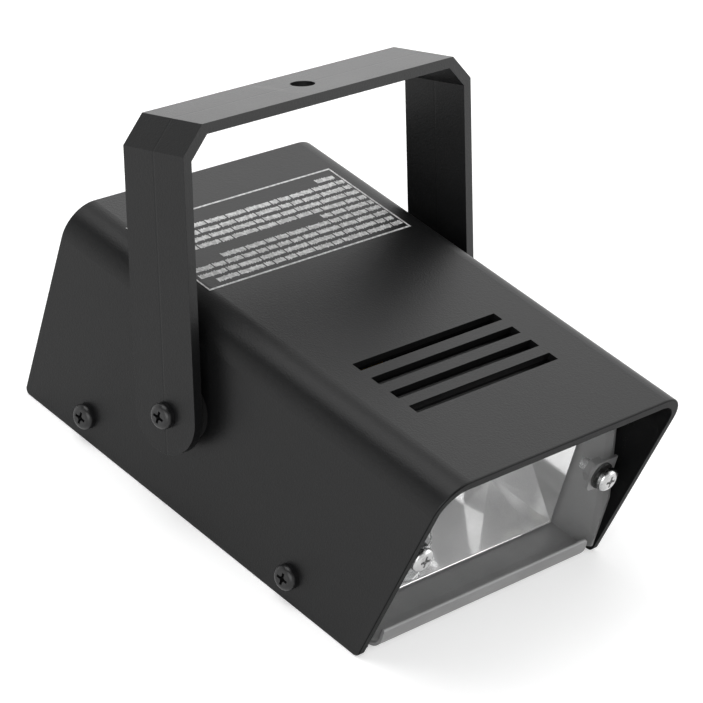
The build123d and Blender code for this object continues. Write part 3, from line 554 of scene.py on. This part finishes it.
class StrobePrint(bpy.types.PropertyGroup):
    """Sizes of the printed marks on the roof and round the knob."""

    frame_low: FloatVectorProperty(
        name="Frame Start",
        description="Front left corner of the printed frame on the roof",
        subtype="XYZ_LENGTH",
        unit="LENGTH",
        size=2,
        default=(-0.0463, 0.01985),
    )
    frame_high: FloatVectorProperty(
        name="Frame End",
        description="Rear right corner of the printed frame on the roof",
        subtype="XYZ_LENGTH",
        unit="LENGTH",
        size=2,
        default=(0.0422, 0.05645),
    )
    frame_line: FloatProperty(
        name="Frame Line",
        description="Width of the printed frame's line",
        unit="LENGTH",
        min=0.0001,
        default=0.00065,
    )
    row_height: FloatProperty(
        name="Row Height",
        description="Height of the plain bars in the printed frame",
        unit="LENGTH",
        min=0.0002,
        default=0.00165,
    )
    row_start: FloatProperty(
        name="First Row",
        description="From the frame's rear line to the middle of the first row",
        unit="LENGTH",
        min=0.0005,
        default=0.0045,
    )
    row_pitch: FloatProperty(
        name="Row Pitch",
        description="Distance from one row of bars to the next",
        unit="LENGTH",
        min=0.0005,
        default=0.0032,
    )
    row_margin: FloatProperty(
        name="Row Margin",
        description="Bare width between the frame's right line and the bars; twice that at the left",
        unit="LENGTH",
        min=0.0005,
        default=0.0011,
    )
    bar_gap: FloatProperty(
        name="Bar Gap",
        description="Bare width between two bars of a row",
        unit="LENGTH",
        min=0.0002,
        default=0.0006,
    )
    tooth: FloatProperty(
        name="Tooth",
        description="Width of the small teeth that make a bar's edges ragged",
        unit="LENGTH",
        min=0.0001,
        default=0.00055,
    )
    row_count: IntProperty(
        name="Rows",
        description="Number of rows of bars in the frame",
        min=1,
        max=10,
        default=10,
    )
    ink_thickness: FloatProperty(
        name="Ink Thickness",
        description="How far printed ink stands above the surface",
        unit="LENGTH",
        min=0.00001,
        default=0.00003,
    )
    scale_radius: FloatProperty(
        name="Scale Radius",
        description="Inner radius of the ticks round the speed knob",
        unit="LENGTH",
        min=0.005,
        default=0.0112,
    )
    scale_steps: IntProperty(
        name="Scale Steps",
        description="Number of numbered steps on the speed scale",
        min=2,
        max=20,
        default=10,
    )
    scale_sweep: FloatProperty(
        name="Scale Sweep",
        description="Angle between the first and the last tick",
        subtype="ANGLE",
        unit="ROTATION",
        min=0.5,
        default=math.radians(300.0),
    )


class StrobeStudio(bpy.types.PropertyGroup):
    """The camera and the light."""

    camera_place: FloatVectorProperty(
        name="Camera Place",
        description="Where the camera stands",
        subtype="XYZ_LENGTH",
        unit="LENGTH",
        size=3,
        default=(-0.6855, -0.4875, 0.5490),
    )
    lens: FloatProperty(
        name="Lens",
        description="Focal length on a 36 mm sensor",
        min=10.0,
        default=167.07,
    )
    soft_light: FloatProperty(
        name="Soft Light",
        description="Power of the large overhead panel in watts",
        min=0.0,
        default=9.0,
    )
    front_light: FloatProperty(
        name="Front Light",
        description="Power of the panel at the left in watts; the right one has half of it",
        min=0.0,
        default=16.0,
    )
    rear_light: FloatProperty(
        name="Rear Light",
        description="Power of the low rear panel, which the bracket's bar mirrors, in watts",
        min=0.0,
        default=3.5,
    )
    card_light: FloatProperty(
        name="Card Light",
        description="Brightness of the grey card overhead, as reflections see it",
        min=0.0,
        max=1.0,
        default=0.1,
    )
    room_light: FloatProperty(
        name="Room Light",
        description="Strength of the even light from all round",
        min=0.0,
        max=2.0,
        default=0.42,
    )


# ---------------------------------------------------------------- operators
class STROBE_OT_cover(bpy.types.Operator):
    """Finishes the moulded cover with its fine grain"""

    bl_idname = "strobe.cover"
    bl_label = "Cover"

    def execute(self, context):
        looks = context.scene.strobe_looks
        tone = tuple(looks.cover_tone)
        # The cover's inner faces and the mouth's cut face get painted shade.
        material = moulded_black(
            "cover_plastic", tone, looks.cover_grain, looks.cover_roughness, shade_mask=cover_dull
        )
        wear(material, "cover")
        ease_edges("cover", looks.cover_edge)
        return {"FINISHED"}


class STROBE_OT_bracket(bpy.types.Operator):
    """Finishes the bracket with its mould seam, the washers and every black screw"""

    bl_idname = "strobe.bracket"
    bl_label = "Bracket and Pivots"

    def execute(self, context):
        looks = context.scene.strobe_looks
        tone = shaded(looks.cover_tone, 1.15)
        material = moulded_black(
            "bracket_plastic", tone, looks.cover_grain, looks.cover_roughness, bracket_seam
        )
        wear(material, "bracket")
        ease_edges("bracket", looks.bracket_edge)
        # The friction washer is darkened nearly to black so it reads as the shadow beside the pivot:
        # painted shadow.
        wear(soft_rubber("washer_painted_shadow", (0.003, 0.003, 0.003), 0.9), "friction_washers")
        black = blackened_metal("black_screw", (0.006, 0.006, 0.0065), 0.34)
        wear(black, "pivot_screws", "cover_screws", "panel_screws")
        return {"FINISHED"}


class STROBE_OT_chassis(bpy.types.Operator):
    """Finishes the bare sheet chassis and the plated fasteners on it"""

    bl_idname = "strobe.chassis"
    bl_label = "Chassis"

    def execute(self, context):
        tone = tuple(context.scene.strobe_looks.sheet_tone)
        wear(rolled_metal("zinc_sheet", tone, 0.5, metallic=0.45), "chassis", "pane_nuts")
        plated = turned_metal("zinc_steel", (0.6, 0.61, 0.62), 0.3)
        wear(plated, "pivot_nuts", "board_spacers", "board_screws")
        wear(plated, "earth_stud", "earth_nut", "pot_nut")
        return {"FINISHED"}


class STROBE_OT_window(bpy.types.Operator):
    """Finishes the clear pane with its bright screws and rubber grommets"""

    bl_idname = "strobe.window"
    bl_label = "Front Pane"

    def execute(self, context):
        wear(clear_sheet("clear_pane"), "front_pane")
        wear(turned_metal("bright_screw", (0.5, 0.5, 0.5), 0.2), "pane_screws")
        wear(soft_rubber("black_rubber", (0.012, 0.012, 0.012)), "pane_grommets")
        return {"FINISHED"}


class STROBE_OT_lamp(bpy.types.Operator):
    """Finishes the mirror reflector, the flash tube and what the tube carries"""

    bl_idname = "strobe.lamp"
    bl_label = "Reflector and Tube"

    def execute(self, context):
        tone = tuple(context.scene.strobe_looks.mirror_tone)
        rear_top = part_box("reflector")[1]
        half_sheet = 0.00025
        # Above the roof's inner face and behind the back's inner face the sheet is painted black as
        # shade.
        mirror = mirror_metal(
            "mirror_sheet", tone, 0.07, rear_top[2] - half_sheet, rear_top[1] - half_sheet
        )
        wear(mirror, "reflector", "reflector_end_left", "reflector_end_right")
        wear(blown_glass("tube_glass"), "flash_tube", "fuse_glass")
        wear(blown_glass("neon_glass", (0.95, 0.8, 0.7)), "neon_lamp")
        nickel = turned_metal("nickel_wire", (0.62, 0.6, 0.56), 0.28)
        wear(nickel, "tube_electrodes", "trigger_band", "fuse_caps")
        wear(soft_rubber("silicone_sleeve", (0.55, 0.54, 0.5), 0.6), "tube_sleeves")
        return {"FINISHED"}


class STROBE_OT_circuit(bpy.types.Operator):
    """Finishes the circuit board and every component on it"""

    bl_idname = "strobe.circuit"
    bl_label = "Circuit"

    def execute(self, context):
        wear(board_green("board_laminate", (0.03, 0.13, 0.06)), "circuit_board")
        shells = {
            "insulation_film": ((0.6, 0.56, 0.42), ("board_insulation",)),
            "capacitor_shell": ((0.55, 0.3, 0.02), ("flash_capacitors", "trigger_capacitor")),
            "transformer_coil": ((0.22, 0.04, 0.015), ("trigger_transformer",)),
            "black_epoxy": ((0.014, 0.014, 0.015), ("thyristor", "rectifier_diodes")),
            "terminal_plastic": ((0.05, 0.22, 0.09), ("terminal_block",)),
            "lead_plastic": ((0.45, 0.015, 0.012), ("pot_leads",)),
            "pot_body": ((0.03, 0.03, 0.034), ("speed_pot",)),
        }
        for name, (tone, nodes) in shells.items():
            wear(glossy_shell(name, tone), *nodes)
        wear(fired_cement("cement_body", (0.62, 0.6, 0.55)), "ballast_resistor")
        brass = rolled_metal("brass_clip", (0.75, 0.55, 0.22), 0.3, (20.0, 20.0, 1.0))
        wear(brass, "fuse_clips", "earth_tag")
        return {"FINISHED"}


class STROBE_OT_rear(bpy.types.Operator):
    """Finishes the rear panel, the cable gland and the speed knob"""

    bl_idname = "strobe.rear"
    bl_label = "Rear Panel"

    def execute(self, context):
        tone = tuple(context.scene.strobe_looks.cover_tone)
        wear(powder_black("panel_paint", tone), "rear_panel")
        nylon = moulded_black("gland_plastic", tone, 900.0, 0.42)
        wear(nylon, "gland_body", "gland_cap_nut", "gland_lock_nut")
        wear(soft_rubber("seal_rubber", (0.012, 0.012, 0.012)), "gland_seal")
        wear(moulded_black("knob_plastic", tone, 2200.0, 0.36), "speed_knob")
        wear(turned_metal("shaft_metal", (0.7, 0.7, 0.71), 0.25), "pot_shaft")
        return {"FINISHED"}


class STROBE_OT_roof_print(bpy.types.Operator):
    """Prints the plain frame and its rows of plain bars on the roof"""

    bl_idname = "strobe.roof_print"
    bl_label = "Roof Print"

    def execute(self, context):
        marks = context.scene.strobe_print
        ink = screen_ink("roof_ink", tuple(context.scene.strobe_looks.ink_tone))
        low, high = np.array(marks.frame_low), np.array(marks.frame_high)
        line = marks.frame_line
        boxes = [
            (low[0], low[1], high[0], low[1] + line),
            (low[0], high[1] - line, high[0], high[1]),
            (low[0], low[1] + line, low[0] + line, high[1] - line),
            (high[0] - line, low[1] + line, high[0], high[1] - line),
        ]
        boxes += self.rows(marks, low, high)
        low_x, low_y, high_x, high_y = np.array(boxes).T
        roof = np.full(len(boxes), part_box("cover")[1][2])
        corners = np.stack(
            [
                np.stack([low_x, low_y, roof], 1),
                np.stack([high_x, low_y, roof], 1),
                np.stack([high_x, high_y, roof], 1),
                np.stack([low_x, high_y, roof], 1),
            ],
            axis=1,
        )
        points, faces = slabs(corners, marks.ink_thickness, (0.0, 0.0, 1.0))
        make_piece("roof_print", points, faces, ink, HOUSING)
        return {"FINISHED"}

    @staticmethod
    def rows(marks, low, high):
        """Plain bars in rows, counted from the frame's rear line towards the front.

        A bar's length is drawn from a seeded list, small teeth along it make it ragged, and a row
        fills only its share of the frame's width.
        """
        chance = np.random.default_rng(7)
        shortest, longest = 0.003, 0.011
        shares = {1: (0.89, 1.0), 6: (0.73, 1.0), 7: (0.18, 1.0), 10: (0.05, 1.0)}
        left, right = low[0] + 2 * marks.row_margin, high[0] - marks.row_margin
        half = marks.row_height / 2
        boxes = []
        for row in range(1, marks.row_count + 1):
            first, last = shares.get(row, (0.0, 1.0))
            middle = high[1] - marks.row_start - (row - 1) * marks.row_pitch
            start = left + first * (right - left)
            stop = left + last * (right - left)
            while start < stop - marks.row_height:
                end = min(start + chance.uniform(shortest, longest), stop)
                boxes.append((start, middle - half, end, middle + half))
                for tooth in np.arange(start, end - marks.tooth, 2 * marks.tooth):
                    edge = middle + chance.choice((-half - marks.tooth / 2, half))
                    boxes.append((tooth, edge, tooth + marks.tooth, edge + marks.tooth / 2))
                start = end + marks.bar_gap
        return boxes


class STROBE_OT_speed_scale(bpy.types.Operator):
    """Prints the ticks and numbers round the speed knob and fills the knob's mark"""

    bl_idname = "strobe.speed_scale"
    bl_label = "Speed Scale"

    def execute(self, context):
        marks = context.scene.strobe_print
        ink = screen_ink("scale_ink", (0.75, 0.75, 0.75))
        shaft_low, shaft_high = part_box("pot_shaft")
        centre = (Vector(shaft_low) + Vector(shaft_high)) / 2
        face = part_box("rear_panel")[1][1]
        self.ticks(marks, ink, centre, face)
        self.numbers(marks, ink, centre, face)
        self.knob_mark(ink, centre)
        return {"FINISHED"}

    @staticmethod
    def ticks(marks, ink, centre, face):
        """Each tick is a narrow slab along a radius: its middle line is centre + r (-sin a, cos a)
        for a from minus half to plus half of the sweep, every fifth one longer and wider."""
        long_tick, short_tick = 0.0022, 0.0012
        bold_half, thin_half = 0.00018, 0.0001
        per_number = 5
        count = marks.scale_steps * per_number + 1
        turn = np.linspace(-marks.scale_sweep / 2, marks.scale_sweep / 2, count)
        numbered = np.arange(count) % per_number == 0
        length = np.where(numbered, long_tick, short_tick)
        half = np.where(numbered, bold_half, thin_half)
        radial = np.stack([-np.sin(turn), np.zeros(count), np.cos(turn)], 1)
        side = np.stack([np.cos(turn), np.zeros(count), np.sin(turn)], 1) * half[:, None]
        middle = np.array([centre[0], face, centre[2]])
        inner = middle + radial * marks.scale_radius
        outer = inner + radial * length[:, None]
        corners = np.stack([inner - side, outer - side, outer + side, inner + side], axis=1)
        points, faces = slabs(corners, marks.ink_thickness, (0.0, 1.0, 0.0))
        make_piece("scale_ticks", points, faces, ink, HOUSING)

    @staticmethod
    def numbers(marks, ink, centre, face):
        """Numbers at the long ticks, each a flat text made into a mesh and stood on the panel."""
        figure_size, ticks_to_figures = 0.0032, 0.0046
        reach = marks.scale_radius + ticks_to_figures
        upright = Matrix(((-1, 0, 0), (0, 0, 1), (0, 1, 0))).to_4x4()
        joined = bmesh.new()
        for step in range(marks.scale_steps + 1):
            turn = -marks.scale_sweep / 2 + marks.scale_sweep * step / marks.scale_steps
            curve = bpy.data.curves.new("number", "FONT")
            curve.body = str(step)
            curve.size = figure_size
            curve.align_x = "CENTER"
            curve.align_y = "CENTER"
            curve.extrude = marks.ink_thickness
            text = bpy.data.objects.new("number", curve)
            mesh = bpy.data.meshes.new_from_object(text)
            across = Vector((-math.sin(turn), 0.0, math.cos(turn))) * reach
            place = Vector((centre[0], face, centre[2])) + across
            mesh.transform(Matrix.Translation(place) @ upright)
            joined.from_mesh(mesh)
            bpy.data.meshes.remove(mesh)
            bpy.data.objects.remove(text)
        scale = bpy.data.meshes.new("scale_numbers")
        joined.to_mesh(scale)
        joined.free()
        piece = show("scale_numbers", scale, ink)
        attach(piece, HOUSING)

    @staticmethod
    def knob_mark(ink, centre):
        """White paint in the knob's slot: one slab a little under the knob's end face."""
        half_width, paint_depth, under_end = 0.00042, 0.00046, 0.00058
        nearest, farthest = 0.0006, 0.0063
        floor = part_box("speed_knob")[1][1] - under_end
        left, right = centre[0] - half_width, centre[0] + half_width
        low, high = centre[2] + nearest, centre[2] + farthest
        outline = [(left, floor, low), (left, floor, high), (right, floor, high), (right, floor, low)]
        points, faces = slabs(np.array([outline]), paint_depth, (0.0, 1.0, 0.0))
        make_piece("knob_mark", points, faces, ink, KNOB)


class STROBE_OT_studio(bpy.types.Operator):
    """Sets the pale floor, the soft light and the camera"""

    bl_idname = "strobe.studio"
    bl_label = "Studio"

    def execute(self, context):
        studio = context.scene.strobe_studio
        self.floor()
        self.dark_card(studio)
        self.world(studio)
        self.lights(studio)
        self.camera(context, studio)
        context.scene.view_settings.view_transform = "Standard"
        return {"FINISHED"}

    @staticmethod
    def floor():
        """A wide flat sheet under the object, white to the camera and in reflections."""
        half = 6.0
        corners = [(-half, -half, 0.0), (half, -half, 0.0), (half, half, 0.0), (-half, half, 0.0)]
        finish = Finish("floor_white")
        patch = finish.noise(3.0, 2.0, 0.5)
        colour = finish.mix(patch, (0.86, 0.86, 0.86), (0.9, 0.9, 0.9))
        path = finish.add("ShaderNodeLightPath", output="Is Camera Ray").socket.node.outputs
        kinds = ("Is Camera Ray", "Is Glossy Ray", "Is Transmission Ray")
        seen, glossy, through = (Signal(finish, path[kind]) for kind in kinds)
        lift = (seen + glossy + through).smallest(1.0)
        glow = finish.mix(lift, (0.0, 0.0, 0.0), (0.36, 0.36, 0.36))
        shade = finish.surface(
            Base_Color=colour, Roughness=0.9, Emission_Color=glow, Emission_Strength=1.0
        )
        piece = flat_sheet("floor", corners, shade)

    @staticmethod
    def dark_card(studio):
        """A grey card high overhead that only reflections see, so the bends stay dark."""
        left, right, front, rear, height = -4.4, 0.4, -2.4, 3.6, 2.2
        outline = ((left, rear), (right, rear), (right, front), (left, front))
        corners = [(*corner, height) for corner in outline]
        finish = Finish("card_grey")
        patch = finish.noise(2.0, 2.0, 0.5)
        grey = (studio.card_light,) * 3
        glow = finish.mix(patch, grey, shaded(grey, 1.2))
        shade = finish.surface(
            Base_Color=(0.02, 0.02, 0.02),
            Roughness=0.9,
            Emission_Color=glow,
            Emission_Strength=1.0,
        )
        piece = flat_sheet("dark_card", corners, shade)
        piece.visible_camera = False
        piece.visible_diffuse = False
        piece.visible_shadow = False

    @staticmethod
    def world(studio):
        """White where the camera, a mirror or glass looks, and a plainer level as a light."""
        world = bpy.data.worlds.new("room")
        bpy.context.scene.world = world
        world.use_nodes = True
        tree = world.node_tree
        tree.nodes.clear()
        path = tree.nodes.new("ShaderNodeLightPath")
        seen = tree.nodes.new("ShaderNodeMath")
        seen.operation = "ADD"
        tree.links.new(path.outputs["Is Camera Ray"], seen.inputs[0])
        tree.links.new(path.outputs["Is Glossy Ray"], seen.inputs[1])
        through = tree.nodes.new("ShaderNodeMath")
        through.operation = "ADD"
        through.use_clamp = True
        tree.links.new(seen.outputs[0], through.inputs[0])
        tree.links.new(path.outputs["Is Transmission Ray"], through.inputs[1])
        white = tree.nodes.new("ShaderNodeBackground")
        white.inputs["Strength"].default_value = 1.0
        plain = tree.nodes.new("ShaderNodeBackground")
        plain.inputs["Strength"].default_value = studio.room_light
        for background in (white, plain):
            background.inputs["Color"].default_value = (1.0, 1.0, 1.0, 1.0)
        mix = tree.nodes.new("ShaderNodeMixShader")
        tree.links.new(through.outputs[0], mix.inputs[0])
        tree.links.new(plain.outputs[0], mix.inputs[1])
        tree.links.new(white.outputs[0], mix.inputs[2])
        end = tree.nodes.new("ShaderNodeOutputWorld")
        tree.links.new(mix.outputs[0], end.inputs["Surface"])

    @staticmethod
    def lights(studio):
        """Soft panels all round, each turned to face the object's middle."""
        target = Vector((0.0, -0.01, 0.04))
        panels = (
            ("top_panel", (-0.3, 0.45, 1.2), 1.0, studio.soft_light),
            ("left_panel", (-1.45, -0.62, 0.4), 1.4, studio.front_light),
            ("right_panel", (1.2, -1.1, 0.5), 1.2, studio.front_light * 0.5),
            ("rear_panel", (1.17, 1.5, 0.32), 1.0, studio.rear_light),
            ("roof_panel", (1.45, 1.0, 1.15), 1.5, studio.rear_light * 1.3),
        )
        for name, place, size, power in panels:
            light = bpy.data.lights.new(name, "AREA")
            light.energy = power
            light.size = size
            lamp = bpy.data.objects.new(name, light)
            bpy.context.scene.collection.objects.link(lamp)
            lamp.location = place
            lamp.visible_camera = False
            lamp.rotation_euler = (target - Vector(place)).to_track_quat("-Z", "Y").to_euler()

    @staticmethod
    def camera(context, studio):
        """The photograph's view: its axes are the fitted camera's."""
        data = bpy.data.cameras.new("view")
        data.lens = studio.lens
        data.sensor_width = 36.0
        data.shift_x = -0.0474
        data.shift_y = 0.0079
        data.clip_start = 0.05
        data.clip_end = 30.0
        camera = bpy.data.objects.new("view", data)
        right = Vector((0.6659, -0.7037, 0.2477)).normalized()
        back = Vector((-0.7064, -0.4879, 0.5128)).normalized()
        up = back.cross(right).normalized()
        right = up.cross(back)
        turn = Matrix((right, up, back)).transposed().to_4x4()
        camera.matrix_world = Matrix.Translation(studio.camera_place) @ turn
        context.scene.collection.objects.link(camera)
        context.scene.camera = camera


STEPS = (
    STROBE_OT_cover,
    STROBE_OT_bracket,
    STROBE_OT_chassis,
    STROBE_OT_window,
    STROBE_OT_lamp,
    STROBE_OT_circuit,
    STROBE_OT_rear,
    STROBE_OT_roof_print,
    STROBE_OT_speed_scale,
    STROBE_OT_studio,
)
GROUPS = (
    ("strobe_looks", StrobeLooks),
    ("strobe_print", StrobePrint),
    ("strobe_studio", StrobeStudio),
)


class STROBE_PT_panel(bpy.types.Panel):
    """Lists the settings and the steps in the 3D view's sidebar."""

    bl_idname = "STROBE_PT_panel"
    bl_label = "Stroboscope"
    bl_space_type = "VIEW_3D"
    bl_region_type = "UI"
    bl_category = "Strobe"

    def draw(self, context):
        layout = self.layout
        for attribute, group in GROUPS:
            box = layout.box()
            settings = getattr(context.scene, attribute)
            for name in group.__annotations__:
                box.prop(settings, name)
        for step in STEPS:
            layout.operator(step.bl_idname, text=step.bl_label)


def register():
    """Registers the settings, the steps and the panel."""
    for _, group in GROUPS:
        bpy.utils.register_class(group)
    for step in STEPS:
        bpy.utils.register_class(step)
    bpy.utils.register_class(STROBE_PT_panel)
    for attribute, group in GROUPS:
        setattr(bpy.types.Scene, attribute, PointerProperty(type=group))


def unregister():
    """Takes away what register added."""
    for attribute, _ in reversed(GROUPS):
        delattr(bpy.types.Scene, attribute)
    bpy.utils.unregister_class(STROBE_PT_panel)
    for step in reversed(STEPS):
        bpy.utils.unregister_class(step)
    for _, group in reversed(GROUPS):
        bpy.utils.unregister_class(group)


def main():
    register()
    for step in STEPS:
        group, name = step.bl_idname.split(".")
        getattr(getattr(bpy.ops, group), name)()


if __name__ == "__main__":
    main()
